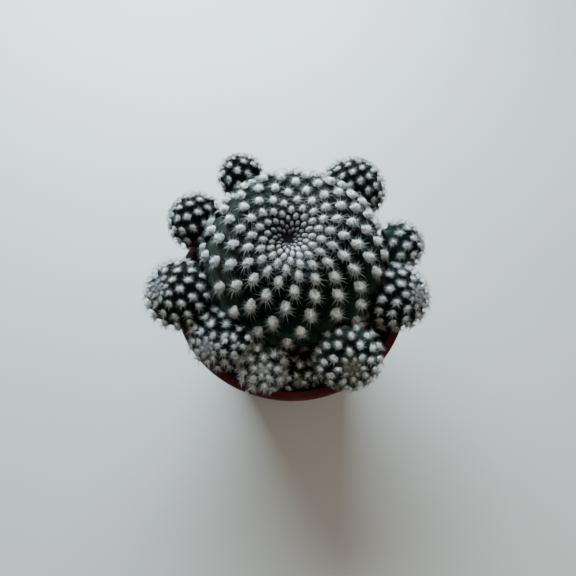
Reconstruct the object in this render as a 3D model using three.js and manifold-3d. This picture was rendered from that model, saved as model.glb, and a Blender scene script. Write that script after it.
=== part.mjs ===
// A clustering round cactus in a small round plastic nursery pot: the pot, its soil, the main
// stem and eleven offsets round it. Millimetres, +Z up, the middle of the pot's underside at
// the origin.
//
// Every head is a closed skin wrapped over a unit sphere of directions from its middle. Its
// areoles, the small woolly cushions that carry the spines, stand in one spiral from its crown,
// which is its growing point.

import * as THREE from 'three';
import { ConvexGeometry } from 'three/addons/geometries/ConvexGeometry.js';
import * as BufferGeometryUtils from 'three/addons/utils/BufferGeometryUtils.js';
import Module from 'manifold-3d';

const { degToRad } = THREE.MathUtils;
const wasm = await Module();
wasm.setup();

// ---- Pot ----
const POT_SIDES = 46;
const POT_HEIGHT = 48;
const POT_BASE_RADIUS = 22;
const POT_WALL = 1.2;
const RIM_RADIUS = 35;
const RIM_INNER_RADIUS = 32.6;
const RIM_DEPTH = 1.6;
const RIM_OVERHANG = 1.4;
const DRAIN_HOLES = 6;
const DRAIN_RADIUS = 2.6;
const DRAIN_CIRCLE = 13.5;
const DRAIN_SIDES = 10;
const NICK_AZIMUTH = -108.4;
const NICK_WIDTH = 1.2;
const NICK_DEPTH = 0.6;

// ---- Soil ----
const SOIL_TOP = 42.5;
const SOIL_GAP = 0.35;
const SOIL_ROUGHNESS = 0.7;
const SOIL_RINGS = [0.94, 0.8, 0.45];
const FOOT_HOLE_RADIUS = 21.6;
const FOOT_HOLE_FLOOR = 33.6;
const FOOT_HOLE_SIDES = 32;

// ---- What every head shares ----
const AREOLE_PACKING = 0.9;
const COUNT_STEP = 5e-4;
const LAST_AREOLE = degToRad(118);
const SMALLEST_SPACING = 1.4;
const TUBERCLE_HEIGHT = 0.2;
const WOOL_HEIGHT = 0.15;
const WOOL_HALF_LENGTH = 0.28;
const WOOL_HALF_WIDTH = 0.24;
const UNDERSIDE_RINGS = [[132, 9], [152, 6]];
const NEIGHBOUR_GAP = 0.4;
const NEIGHBOUR_REACH = 3;
const POT_GAP = 0.5;
const SOIL_CLEARANCE = 0.3;

// ---- Spines ----
const SPINE_SIDES = 3;
const SPINE_ROOT = 0.7;
const SPINE_FLANK = 0.45;
const SPINE_LIFT = 0.9;
const SPINE_MARGIN = 0.15;
const SPINE_SPACING = 0.5;

// ---- Heads ----
// centre: middle of the head. radius: across its widest part, to the tops of the areoles.
// axis: the way it stands. crown: the way its growing point faces, the same if left out.
// rise and drop: heights above and below the centre, as shares of the radius.
// taper: how much the lower half narrows. hollow: the dimple at the crown.
// spacing: between grown areoles. apexSpacing: between those at the crown, as a share of that.
// crowdedAngle and crowding: how far from the crown they spread apart, and how soon.
// twist and divergence: the first areole's turn and the turn from each to the next, degrees.
// swell and sway: how far growth is faster on one side, and how far that turns the areoles,
// each with the side's turn in degrees.
const MAIN_STEM = {
  name: 'main_stem',
  centre: [0.55, 4.1, 56.5],
  radius: 27.4,
  axis: [0, 0, 1],
  crown: [-0.072, -0.295, 1],
  rise: 0.9,
  drop: 0.82,
  taper: 0.5,
  hollowDepth: 2.6,
  hollowRadius: 4.5,
  spacing: 7.87,
  apexSpacing: 0.071,
  crowdedAngle: 71.6,
  crowding: 0.653,
  twist: 249.7,
  divergence: 99.582,
  swell: 0.25,
  swellSide: 94.5,
  sway: 0.25,
  swaySide: 60,
  woolSides: 5,
  spineLength: 3.6,
  spineRadius: 0.28,
  spineEvery: 1,
};

const OFFSET_SHAPE = {
  rise: 0.95,
  drop: 1.5,
  taper: 0.55,
  hollowDepth: 0.3,
  hollowRadius: 2,
  spacing: 3.85,
  apexSpacing: 0.22,
  crowdedAngle: 42,
  crowding: 0.8,
  twist: 0,
  divergence: 137.508,
  swell: 0,
  swellSide: 0,
  sway: 0,
  swaySide: 0,
  woolSides: 4,
  spineLength: 2.8,
  spineRadius: 0.22,
  spineEvery: 1,
};

const OFFSETS = [
  { name: 'offset_back_left', centre: [-16.9, 31.1, 61.5], radius: 7.1, axis: [-0.45, 0.55, 0.7] },
  { name: 'offset_upper_left', centre: [-29.5, 16.1, 57.5], radius: 8.7, axis: [-0.8, 0.25, 0.55] },
  { name: 'offset_left', centre: [-30.8, -8.8, 57], radius: 10, axis: [-0.47, -0.26, 0.84] },
  { name: 'offset_lower_left', centre: [-18.8, -19.9, 53], radius: 8.8, axis: [-0.3, -0.63, 0.72] },
  { name: 'offset_tiny_left', centre: [-13.4, -23.6, 60], radius: 3.9, axis: [0.1, -0.55, 0.83] },
  { name: 'offset_front_left', centre: [-6.9, -27.5, 52], radius: 6.7, axis: [0.07, -0.41, 0.91] },
  { name: 'offset_front', centre: [3.3, -28.2, 48.3], radius: 4.9, axis: [0, -0.6, 0.8] },
  { name: 'offset_front_right', centre: [15.6, -24.9, 57], radius: 9.2, axis: [0.07, -0.68, 0.73] },
  { name: 'offset_right', centre: [29.2, -7.9, 59], radius: 9.2, axis: [0.5, -0.3, 0.81] },
  { name: 'offset_upper_right', centre: [31.2, 9, 59], radius: 7.5, axis: [0.9, 0, 0.4] },
  { name: 'offset_back_right', centre: [18.5, 31.1, 57], radius: 10.4, axis: [0.4, 0.72, 0.56] },
];

// ---- Finishes ----
const POT_FINISH = { color: 0x4e2420, roughness: 0.55, metalness: 0 };
const SOIL_FINISH = { color: 0x1d1713, roughness: 1, metalness: 0 };
const STEM_FINISH = { color: 0x4c5f50, roughness: 0.75, metalness: 0 };

// ---- Solids ----

// Keeps only the corners' places, so that corners in one place become one corner.
function withSharedCorners(geometry) {
  geometry.deleteAttribute('normal');
  geometry.deleteAttribute('uv');
  return BufferGeometryUtils.mergeVertices(geometry, 1e-4);
}

function toSolid(geometry) {
  const merged = withSharedCorners(geometry);
  const vertProperties = new Float32Array(merged.getAttribute('position').array);
  const triVerts = new Uint32Array(merged.getIndex().array);
  return new wasm.Manifold(new wasm.Mesh({ numProp: 3, vertProperties, triVerts }));
}

function toGeometry(solid) {
  const { vertProperties, triVerts } = solid.getMesh();
  const geometry = new THREE.BufferGeometry();
  geometry.setAttribute('position', new THREE.BufferAttribute(vertProperties, 3));
  geometry.setIndex(new THREE.BufferAttribute(triVerts, 1));
  return geometry;
}

function namedMesh(name, geometry, finish) {
  const mesh = new THREE.Mesh(geometry, new THREE.MeshStandardMaterial(finish));
  mesh.name = name;
  return mesh;
}

function lathe(profile, sides) {
  const points = profile.map(([radius, height]) => new THREE.Vector2(radius, height));
  return new THREE.LatheGeometry(points, sides).rotateX(Math.PI / 2);
}

function uprightCylinder(radius, bottom, top, sides) {
  return new THREE.CylinderGeometry(radius, radius, top - bottom, sides)
    .rotateX(Math.PI / 2)
    .translate(0, 0, (bottom + top) / 2);
}

function seededDraws(seed) {
  let state = seed;
  return () => {
    state = (state * 1664525 + 1013904223) % 4294967296;
    return state / 4294967296;
  };
}

// ---- Pot and soil ----

const rimUnderside = POT_HEIGHT - RIM_DEPTH;
const wallTopRadius = RIM_RADIUS - RIM_OVERHANG;

function potInnerRadius(height) {
  const wallRise = (RIM_INNER_RADIUS - POT_BASE_RADIUS + POT_WALL) / (POT_HEIGHT - POT_WALL);
  return POT_BASE_RADIUS - POT_WALL + wallRise * (height - POT_WALL);
}

function makePot() {
  const profile = [
    [0, 0],
    [POT_BASE_RADIUS, 0],
    [wallTopRadius, rimUnderside],
    [RIM_RADIUS, rimUnderside],
    [RIM_RADIUS, POT_HEIGHT],
    [RIM_INNER_RADIUS, POT_HEIGHT],
    [potInnerRadius(POT_WALL), POT_WALL],
    [0, POT_WALL],
  ];
  let pot = toSolid(lathe(profile, POT_SIDES));
  for (let i = 0; i < DRAIN_HOLES; i++) {
    const angle = (i / DRAIN_HOLES) * 2 * Math.PI;
    const hole = uprightCylinder(DRAIN_RADIUS, -1, POT_WALL + 1, DRAIN_SIDES);
    hole.translate(DRAIN_CIRCLE * Math.cos(angle), DRAIN_CIRCLE * Math.sin(angle), 0);
    pot = pot.subtract(toSolid(hole));
  }
  const nick = new THREE.BoxGeometry(NICK_DEPTH * 2, NICK_WIDTH, RIM_DEPTH * 3);
  nick.translate(RIM_RADIUS, 0, POT_HEIGHT);
  nick.rotateZ(degToRad(NICK_AZIMUTH));
  return toGeometry(pot.subtract(toSolid(nick)));
}

function makeSoil() {
  const bottom = POT_WALL + SOIL_GAP;
  const topRadius = potInnerRadius(SOIL_TOP) - SOIL_GAP;
  const surface = SOIL_RINGS.map((share) => [topRadius * share, SOIL_TOP]);
  const profile = [
    [0, bottom],
    [potInnerRadius(bottom) - SOIL_GAP, bottom],
    [topRadius, SOIL_TOP - SOIL_ROUGHNESS],
    ...surface,
    [0, SOIL_TOP],
  ];
  const soil = withSharedCorners(lathe(profile, POT_SIDES));
  const draw = seededDraws(7);
  const corners = soil.getAttribute('position');
  for (let i = 0; i < corners.count; i++) {
    if (corners.getZ(i) > SOIL_TOP - 0.01) {
      corners.setZ(i, SOIL_TOP - SOIL_ROUGHNESS * draw());
    }
  }
  const hole = uprightCylinder(FOOT_HOLE_RADIUS, FOOT_HOLE_FLOOR, POT_HEIGHT, FOOT_HOLE_SIDES);
  const [footX, footY] = MAIN_STEM.centre;
  hole.translate(footX, footY, 0);
  return toGeometry(toSolid(soil).subtract(toSolid(hole)));
}

// ---- The form of a head ----

function frameOf(head) {
  const axis = new THREE.Vector3(...head.axis).normalize();
  const crown = new THREE.Vector3(...(head.crown ?? head.axis)).normalize();
  return { centre: new THREE.Vector3(...head.centre), axis, crown };
}

// The direction at an angle from a pole, turned round it, both in radians.
function directionFrom(pole, polar, around) {
  const east = new THREE.Vector3(0, 1, 0).cross(pole).normalize();
  const north = pole.clone().cross(east);
  return pole
    .clone()
    .multiplyScalar(Math.cos(polar))
    .addScaledVector(east, Math.sin(polar) * Math.cos(around))
    .addScaledVector(north, Math.sin(polar) * Math.sin(around));
}

// Where a direction from the middle of the head meets its skin.
function skinAt(head, direction) {
  const { centre, axis, crown } = head.frame;
  const along = direction.dot(axis);
  const below = Math.max(0, -along);
  const across = direction.clone().addScaledVector(axis, -along);
  const fromCrown = head.radius * direction.distanceTo(crown);
  const hollow = head.hollowDepth * Math.exp(-((fromCrown / head.hollowRadius) ** 2));
  return centre
    .clone()
    .addScaledVector(across, head.radius * (1 - head.taper * below ** 3))
    .addScaledVector(axis, head.radius * along * (below > 0 ? head.drop : head.rise))
    .addScaledVector(crown, -hollow);
}

// The ways down the rib and across the ribs on the unit sphere at a direction, how far the skin
// runs along each, and the way out of the skin.
function ribsAt(head, direction) {
  const step = 1e-3;
  const { crown } = head.frame;
  const nearPole = Math.abs(direction.dot(crown)) > 1 - 1e-9;
  const pole = nearPole ? new THREE.Vector3(0.6, 0.64, 0.48) : crown;
  const across = pole.clone().cross(direction).normalize();
  const down = across.clone().cross(direction);
  const run = (way) => {
    const stepped = direction.clone().addScaledVector(way, step).normalize();
    return skinAt(head, stepped).sub(skinAt(head, direction)).divideScalar(step);
  };
  const downRun = run(down);
  const acrossRun = run(across);
  const outward = downRun.clone().cross(acrossRun).normalize();
  return { down, across, downRun: downRun.length(), acrossRun: acrossRun.length(), outward };
}

function raisedAt(head, direction, lift) {
  return skinAt(head, direction).addScaledVector(ribsAt(head, direction).outward, lift);
}

// ---- Areoles ----

function spacingAt(head, polar) {
  const share = Math.min(1, polar / degToRad(head.crowdedAngle));
  const grown = THREE.MathUtils.smoothstep(share ** head.crowding, 0, 1);
  return head.spacing * THREE.MathUtils.lerp(head.apexSpacing, 1, grown);
}

// Moves an areole of the even spiral to where one-sided growth carries it.
function grownDirection(head, polar, turn) {
  const around = degToRad(head.twist + turn * head.divergence);
  const swell = head.swell * Math.sin(polar) * Math.cos(around - degToRad(head.swellSide));
  const sway = head.sway * Math.sin(around - degToRad(head.swaySide));
  return directionFrom(head.frame.crown, polar + swell, around - sway);
}

// Each areole takes up an area that follows from its spacing, so the area of the sphere out to
// an angle from the crown sets how many areoles of the spiral stand inside it.
function areolesOf(head) {
  const areoles = [];
  let turn = 0.5;
  let count = 0;
  for (let polar = COUNT_STEP; polar < Math.PI; polar += COUNT_STEP) {
    const spacing = spacingAt(head, polar);
    const zone = 2 * Math.PI * head.radius ** 2 * Math.sin(polar) * COUNT_STEP;
    count += zone / (AREOLE_PACKING * spacing ** 2);
    if (count > turn) {
      const size = spacing ** 0.75 * head.spacing ** 0.25;
      areoles.push({ direction: grownDirection(head, polar, turn), spacing, size });
      turn += 1;
    }
  }
  return areoles
    .filter(({ spacing }) => spacing > SMALLEST_SPACING)
    .filter(({ direction }) => standsHigh(head, direction));
}

function standsHigh(head, direction) {
  return direction.dot(head.frame.axis) > Math.cos(LAST_AREOLE);
}

// Steps along and across the head's ribs, given in millimetres on its skin.
function stepOnSkin(head, direction, alongRib, acrossRib) {
  const { down, across, downRun, acrossRun } = ribsAt(head, direction);
  return direction
    .clone()
    .addScaledVector(down, alongRib / downRun)
    .addScaledVector(across, acrossRib / acrossRun)
    .normalize();
}

function woolCushion(head, { direction, size }) {
  const points = [{ direction, place: skinAt(head, direction) }];
  for (let i = 0; i < head.woolSides; i++) {
    const turn = ((i + 0.5) / head.woolSides) * 2 * Math.PI;
    const alongRib = WOOL_HALF_LENGTH * size * Math.cos(turn);
    const acrossRib = WOOL_HALF_WIDTH * size * Math.sin(turn);
    const edge = stepOnSkin(head, direction, alongRib, acrossRib);
    points.push({ direction: edge, place: raisedAt(head, edge, -WOOL_HEIGHT * size) });
  }
  return points;
}

// The lowest places between tubercles: the middles of the triangles that join the areoles.
function valleysBetween(head, areoles) {
  const under = { direction: head.frame.axis.clone().negate(), spacing: head.spacing };
  const corners = [...areoles, under];
  const spacings = new Map(corners.map(({ direction, spacing }) => [keyOf(direction), spacing]));
  const net = new ConvexGeometry(corners.map(({ direction }) => direction));
  const places = net.getAttribute('position');
  const points = [];
  for (let i = 0; i < places.count; i += 3) {
    const direction = new THREE.Vector3();
    let spacing = 0;
    for (let corner = i; corner < i + 3; corner++) {
      const place = new THREE.Vector3().fromBufferAttribute(places, corner);
      direction.add(place);
      spacing += spacings.get(keyOf(place)) / 3;
    }
    direction.normalize();
    if (standsHigh(head, direction)) {
      const depth = spacing * (TUBERCLE_HEIGHT + WOOL_HEIGHT);
      points.push({ direction, place: raisedAt(head, direction, -depth) });
    }
  }
  return points;
}

function underside(head) {
  const { axis } = head.frame;
  const depth = head.spacing * (TUBERCLE_HEIGHT + WOOL_HEIGHT);
  const directions = [axis.clone().negate()];
  for (const [degrees, count] of UNDERSIDE_RINGS) {
    for (let i = 0; i < count; i++) {
      directions.push(directionFrom(axis, degToRad(degrees), (i / count) * 2 * Math.PI));
    }
  }
  return directions.map((direction) => ({
    direction,
    place: raisedAt(head, direction, -depth),
  }));
}

// ---- Walls that a head is pressed flat against ----

function wallBetween(head, other) {
  const normal = other.frame.centre.clone().sub(head.frame.centre);
  const apart = normal.length();
  normal.divideScalar(apart);
  const share = (apart ** 2 + head.radius ** 2 - other.radius ** 2) / (2 * apart);
  return { normal, reach: normal.dot(head.frame.centre) + share - NEIGHBOUR_GAP / 2 };
}

function wallAtRim(head) {
  const { centre } = head.frame;
  const out = Math.hypot(centre.x, centre.y);
  const nearest = THREE.MathUtils.clamp(out, RIM_INNER_RADIUS, RIM_RADIUS);
  const edge = new THREE.Vector3(
    (centre.x / out) * nearest,
    (centre.y / out) * nearest,
    POT_HEIGHT
  );
  const normal = edge.clone().sub(centre).normalize();
  return { normal, reach: normal.dot(edge) - POT_GAP };
}

function wallsAround(head, heads) {
  const walls = heads
    .filter((other) => other !== head)
    .filter((other) => {
      const apart = other.frame.centre.distanceTo(head.frame.centre);
      return apart < head.radius + other.radius + NEIGHBOUR_REACH;
    })
    .map((other) => wallBetween(head, other));
  if (head !== MAIN_STEM) {
    walls.push(wallAtRim(head));
    walls.push({ normal: new THREE.Vector3(0, 0, -1), reach: -(SOIL_TOP + SOIL_CLEARANCE) });
  }
  return walls;
}

function pressInside(head, walls, place) {
  const { centre } = head.frame;
  const arm = place.clone().sub(centre);
  let share = 1;
  for (const { normal, reach } of walls) {
    const outward = normal.dot(arm);
    if (outward > 0) {
      share = Math.min(share, (reach - normal.dot(centre)) / outward);
    }
  }
  return centre.clone().addScaledVector(arm, share);
}

// ---- Skin and spines ----

const keyOf = ({ x, y, z }) => [x, y, z].map(Math.fround).join();

function wrapSkin(points) {
  const places = new Map(points.map(({ direction, place }) => [keyOf(direction), place]));
  const skin = new ConvexGeometry(points.map(({ direction }) => direction));
  const corners = skin.getAttribute('position');
  const corner = new THREE.Vector3();
  for (let i = 0; i < corners.count; i++) {
    corner.fromBufferAttribute(corners, i);
    corners.setXYZ(i, ...places.get(keyOf(corner)).toArray());
  }
  return skin;
}

// A spine stands on one flank of its cushion and leans out over that side.
function spineOn(head, { direction, size }, index) {
  const side = (((index % head.woolSides) + 1) / head.woolSides) * 2 * Math.PI;
  const alongRib = WOOL_HALF_LENGTH * size * SPINE_FLANK * Math.cos(side);
  const acrossRib = WOOL_HALF_WIDTH * size * SPINE_FLANK * Math.sin(side);
  const flank = stepOnSkin(head, direction, alongRib, acrossRib);
  const root = raisedAt(head, flank, -WOOL_HEIGHT * size * SPINE_FLANK);
  const sideways = root.clone().sub(skinAt(head, direction)).normalize();
  const way = sideways.addScaledVector(ribsAt(head, direction).outward, SPINE_LIFT).normalize();
  const length = (head.spineLength * size) / head.spacing;
  const spine = new THREE.ConeGeometry(head.spineRadius, length + SPINE_ROOT, SPINE_SIDES, 1);
  spine.translate(0, (length - SPINE_ROOT) / 2, 0);
  const up = new THREE.Vector3(0, 1, 0);
  spine.applyQuaternion(new THREE.Quaternion().setFromUnitVectors(up, way));
  spine.translate(root.x, root.y, root.z);
  return { spine, root, tip: root.clone().addScaledVector(way, length) };
}

function standsClear(walls, { root, tip }) {
  return walls.every(({ normal, reach }) => {
    const limit = reach - SPINE_MARGIN;
    return normal.dot(tip) < limit && normal.dot(root) < limit;
  });
}

function makeHead(head, heads) {
  const areoles = areolesOf(head);
  const walls = wallsAround(head, heads);
  const points = areoles.flatMap((areole) => woolCushion(head, areole));
  points.push(...valleysBetween(head, areoles));
  points.push(...underside(head));
  for (const point of points) {
    point.place = pressInside(head, walls, point.place);
  }
  let solid = toSolid(wrapSkin(points));
  areoles
    .filter(({ spacing }) => spacing > SPINE_SPACING * head.spacing)
    .filter((areole, i) => i % head.spineEvery === 0)
    .map((areole, i) => spineOn(head, areole, i))
    .filter((candidate) => standsClear(walls, candidate))
    .forEach(({ spine }) => {
      solid = solid.add(toSolid(spine));
    });
  return toGeometry(solid);
}

// ---- The whole plant in its pot ----

const heads = [MAIN_STEM, ...OFFSETS.map((offset) => ({ ...OFFSET_SHAPE, ...offset }))];
for (const head of heads) {
  head.frame = frameOf(head);
}

const cactus = new THREE.Group();
cactus.add(namedMesh('pot', makePot(), POT_FINISH));
cactus.add(namedMesh('soil', makeSoil(), SOIL_FINISH));
for (const head of heads) {
  cactus.add(namedMesh(head.name, makeHead(head, heads), STEM_FINISH));
}

export default cactus;
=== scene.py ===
"""A clustering round cactus in a small round plastic nursery pot, dressed for rendering.

Each head gets a finely modelled skin, woolly areoles and curved spines, all placed by the same
spiral as the solid that they stand for. Lengths are in millimetres until a mesh is made, except
where a light's are given in metres.
"""

import math

import bmesh
import bpy
import numpy as np
from mathutils import Matrix, Vector


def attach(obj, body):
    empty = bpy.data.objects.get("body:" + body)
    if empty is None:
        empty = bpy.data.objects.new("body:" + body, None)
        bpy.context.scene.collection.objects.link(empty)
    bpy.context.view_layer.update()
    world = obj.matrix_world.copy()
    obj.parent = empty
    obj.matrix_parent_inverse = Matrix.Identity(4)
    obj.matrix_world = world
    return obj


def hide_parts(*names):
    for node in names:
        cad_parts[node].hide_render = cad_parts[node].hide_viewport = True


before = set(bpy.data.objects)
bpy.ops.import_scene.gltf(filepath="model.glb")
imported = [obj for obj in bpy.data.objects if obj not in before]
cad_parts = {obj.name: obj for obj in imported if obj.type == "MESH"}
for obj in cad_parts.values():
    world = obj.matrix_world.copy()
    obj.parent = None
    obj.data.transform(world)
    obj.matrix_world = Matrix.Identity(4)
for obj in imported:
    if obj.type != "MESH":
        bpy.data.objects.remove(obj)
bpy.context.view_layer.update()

MM = 0.001

# ---- Camera ----
CAMERA_PLACE = (-0.83, -69.79, 176.66)
CAMERA_TILT = math.radians(28.31)
CAMERA_ROLL = math.radians(-2.32)
LENS = 29.875
SENSOR = 36
NEAREST_SEEN = 10

# ---- Lights: metres and watts ----
WINDOW = dict(
    name="window", place=(-0.08, 0.295, 0.24), width=0.37, height=0.31, power=6.8,
    colour=(0.71, 0.9, 1.0),
)
FILL = dict(
    name="fill", place=(0.15, -0.2, 0.36), width=0.3, height=0.3, power=0.56,
    colour=(1.0, 0.92, 0.74),
)
LIGHTS_AIM = Vector((0, 0, 0.05))
ROOM_COLOUR = (1.0, 0.98, 0.95)
ROOM_STRENGTH = 0.22
FLOOR_REACH = 3000

# ---- Pot ----
POT_SIDES = 160
POT_HEIGHT = 48
POT_BASE_RADIUS = 22
POT_WALL = 1.2
RIM_RADIUS = 35
RIM_INNER_RADIUS = 32.6
RIM_DEPTH = 1.6
RIM_OVERHANG = 1.4
DRAIN_HOLES = 6
DRAIN_RADIUS = 2.6
DRAIN_CIRCLE = 13.5
DRAIN_SIDES = 28
NICK_AZIMUTH = math.radians(-108.4)
NICK_WIDTH = 1.2
NICK_DEPTH = 0.6
FOOT_FILLET = 1.5
UNDER_RIM_FILLET = 0.3
LIP_FILLET = 0.45
FLOOR_FILLET = 1.0
FILLET_STEPS = 5
SMOOTHED_EDGES = math.radians(50)

# ---- Soil ----
# A wave is how fast it turns along x and along y, and its start. The higher CRUMB_SMALLNESS,
# the fewer crumbs are large.
SOIL_TOP = 42.5
SOIL_GAP = 0.35
SOIL_SINK = 0.35
SOIL_INNER_RADIUS = 19.5
SOIL_RINGS = 26
SOIL_WAVES = (
    (0.9, 0.4, 0.3), (-0.5, 1.1, 1.7), (1.6, -1.3, 4.1), (-2.1, -1.7, 2.2), (2.9, 2.3, 0.9),
)
SOIL_LUMPS = 0.16
SOIL_GRAIN = 0.14
SOIL_SEED = 7
CRUMB_COUNT = 1500
CRUMB_SIZE = (0.25, 0.95)
CRUMB_SMALLNESS = 3
CRUMB_STRETCH = (0.6, 1.25)
CRUMB_DENTS = (0.7, 1.15)
CRUMB_LIFT = 0.1
CRUMB_MARGIN = 0.8

# ---- Spiral and skin: depths and reach are shares of the areoles' spacing ----
AREOLE_PACKING = 0.9
COUNT_STEP = 5e-4
LAST_AREOLE = math.radians(118)
SMALLEST_SPACING = 0.9
UNGROWING_ROUNDS = 8
VALLEY_DEPTH = 0.35
SEAT_DEPTH = 0.13
TUBERCLE_REACH = 0.62
SKIN_SAMPLES = 13
FINE_ANGLES = 2001
POLE_ANGLE = 1e-4
SLOPE_STEP = 1e-3
CROWN_NUDGE = 1e-9

# ---- Room between a head and what it is pressed against, and how far that may be crossed ----
NEIGHBOUR_GAP = 0.4
NEIGHBOUR_REACH = 3
POT_GAP = 0.5
SOIL_CLEARANCE = 0.3
AREOLE_CROSSING = 0.2
SPINE_CROSSING = 1.0

# ---- Wool ----
# Lengths are shares of a tuft's size, which grows as its areole's spacing to a power.
TUFT_GROWTH = 0.6
WOOL_LENGTH = 1.26
WOOL_WIDTH = 0.84
WOOL_RISE = 1.02
WOOL_SINK = 0.2
WOOL_ROUGHNESS = 0.1
DOME_SEGMENTS = 14
DOME_RINGS = 5
SHADE_SHRINKS = 0.3
WOOL_STREAKS = (0.5, 1.3)
# Painted shade at a dome's foot and on its side turned away from the window.
FOOT_SHADE = 0.6
UNDERSIDE_SHADE = 0.6

# ---- Wool fibres: rooted on the tuft, they lean away from it, and their tips sink back ----
FIBRES = 90
FIBRE_FOOT = 0.9
HIGHEST_FIBRE = 0.98
FIBRE_LENGTH = (0.4, 1.05)
FIBRE_RADIUS = 0.026
FULL_FIBRE_SPACING = 6
FIBRE_DROOP = 0.25
FIBRE_TANGLE = 0.35
FIBRE_LIFT = 0.2
TOP_FIBRE_LIFT = 0.6
FIBRE_BEND = 0.55
FIBRE_REACH = (1.0, 1.0, 0.55)
FIBRE_SHADES = (0.6, 1.1)
FIBRE_FADE = 0.55

# ---- Spines ----
# A bend and a tip are how far out sideways and how far up, as shares of the spine's length.
# FULL_SPINES is the size of areoles with full spines, and their length grows as it to a power.
SPINE_COUNT = 19
SPINE_SPREAD = math.radians(7)
SPINE_LENGTHS = (0.72, 1.05)
FRONT_SPINES_LONGER = 0.22
FULL_SPINES = 0.42
SPINE_GROWTH = 0.3
SPINE_FOOT = 0.6
SPINE_FOOT_RISE = 0.7
SPINE_BEND = (0.43, 0.75)
SPINE_TIP = (0.93, 0.62)
SPINE_DROOP = (0.025, 0.11)

# ---- Needles: spines and wool fibres are all thin curved three-sided cones ----
NEEDLE_SIDES = 3
NEEDLE_TAPER = 0.8
NEEDLE_NUDGE = (1e-5, 2e-5, 3e-5)

# ---- Heads ----
# The form has the same numbers as the solids:
# centre: middle of the head. radius: across its widest part, to the tops of the areoles.
# axis: the way it stands. crown: the way its growing point faces, the same if left out.
# rise and drop: heights above and below the centre, as shares of the radius.
# taper: how much the lower half narrows. hollow: the dimple at the crown.
# spacing: between grown areoles. apex_spacing: between those at the crown, as a share of that.
# crowded_angle and crowding: how far from the crown they spread apart, and how soon.
# twist and divergence: the first areole's turn and the turn from each to the next, degrees.
# swell and sway: how far growth is faster on one side, and how far that turns the areoles,
# each with the side's turn in degrees.
# The looks are the scene's own:
# wool: a tuft's size, as a share of the spacing. fluff: its fibres' length, as a share of that.
# spine_length, spine_radius and spine_lift: a full spine, and how steeply it rises, from and to.
# first_spines: the size of areoles where spines begin, as a share of a grown areole's, or below
# zero where even the smallest have some.
# spine_shade and old_skin: how bright the spines, and the skin far from the crown (partly painted
# light), are.
# young_skin and young_wool: how far out from the crown young colours fade, degrees.
MAIN_STEM = dict(
    name="main_stem", centre=(0.55, 4.1, 56.5), radius=27.4, axis=(0, 0, 1),
    crown=(-0.072, -0.295, 1), rise=0.9, drop=0.82, taper=0.5, hollow_depth=2.6,
    hollow_radius=4.5, spacing=7.87, apex_spacing=0.071, crowded_angle=71.6, crowding=0.653,
    twist=249.7, divergence=99.582, swell=0.25, swell_side=94.5, sway=0.25, sway_side=60,
    wool=0.205, fluff=1, spine_length=3.5, spine_radius=0.056, spine_lift=(0.3, 0.75),
    first_spines=0.1, spine_shade=0.8, old_skin=3.5, young_skin=12, young_wool=14,
)
OFFSET_SHAPE = dict(
    rise=0.95, drop=1.5, taper=0.55, hollow_depth=0.3, hollow_radius=2, spacing=3.85,
    apex_spacing=0.22, crowded_angle=42, crowding=0.8, twist=0, divergence=137.508, swell=0,
    swell_side=0, sway=0, sway_side=0, wool=0.195, fluff=1.15, spine_length=2.0,
    spine_radius=0.06, spine_lift=(0.5, 1.1), first_spines=-0.3, spine_shade=0.75, old_skin=0,
    young_skin=30, young_wool=24,
)
OFFSETS = (
    dict(name="offset_back_left", centre=(-16.9, 31.1, 61.5), radius=7.1, axis=(-0.45, 0.55, 0.7)),
    dict(name="offset_upper_left", centre=(-29.5, 16.1, 57.5), radius=8.7, axis=(-0.8, 0.25, 0.55)),
    dict(name="offset_left", centre=(-30.8, -8.8, 57), radius=10, axis=(-0.47, -0.26, 0.84)),
    dict(name="offset_lower_left", centre=(-18.8, -19.9, 53), radius=8.8, axis=(-0.3, -0.63, 0.72),
         spine_length=2.2, spine_shade=1, fluff=1.7),
    dict(name="offset_tiny_left", centre=(-13.4, -23.6, 60), radius=3.9, axis=(0.1, -0.55, 0.83)),
    dict(name="offset_front_left", centre=(-6.9, -27.5, 52), radius=6.7, axis=(0.07, -0.41, 0.91),
         wool=0.22, spine_length=2.2, spine_shade=1.35, fluff=2.8, old_skin=7),
    dict(name="offset_front", centre=(3.3, -28.2, 48.3), radius=4.9, axis=(0, -0.6, 0.8),
         spine_length=2.3, spine_shade=1, fluff=1.6),
    dict(name="offset_front_right", centre=(15.6, -24.9, 57), radius=9.2, axis=(0.07, -0.68, 0.73),
         wool=0.23, spine_length=1.9, spine_shade=0.7, fluff=1.2, old_skin=9),
    dict(name="offset_right", centre=(29.2, -7.9, 59), radius=9.2, axis=(0.5, -0.3, 0.81),
         spine_shade=0.9, fluff=1.6),
    dict(name="offset_upper_right", centre=(31.2, 9, 59), radius=7.5, axis=(0.9, 0, 0.4),
         spine_length=2.2, spine_shade=1.1, fluff=1.6, old_skin=2),
    dict(name="offset_back_right", centre=(18.5, 31.1, 57), radius=10.4, axis=(0.4, 0.72, 0.56)),
)
FIRST_HEAD_SEED = 100

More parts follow.
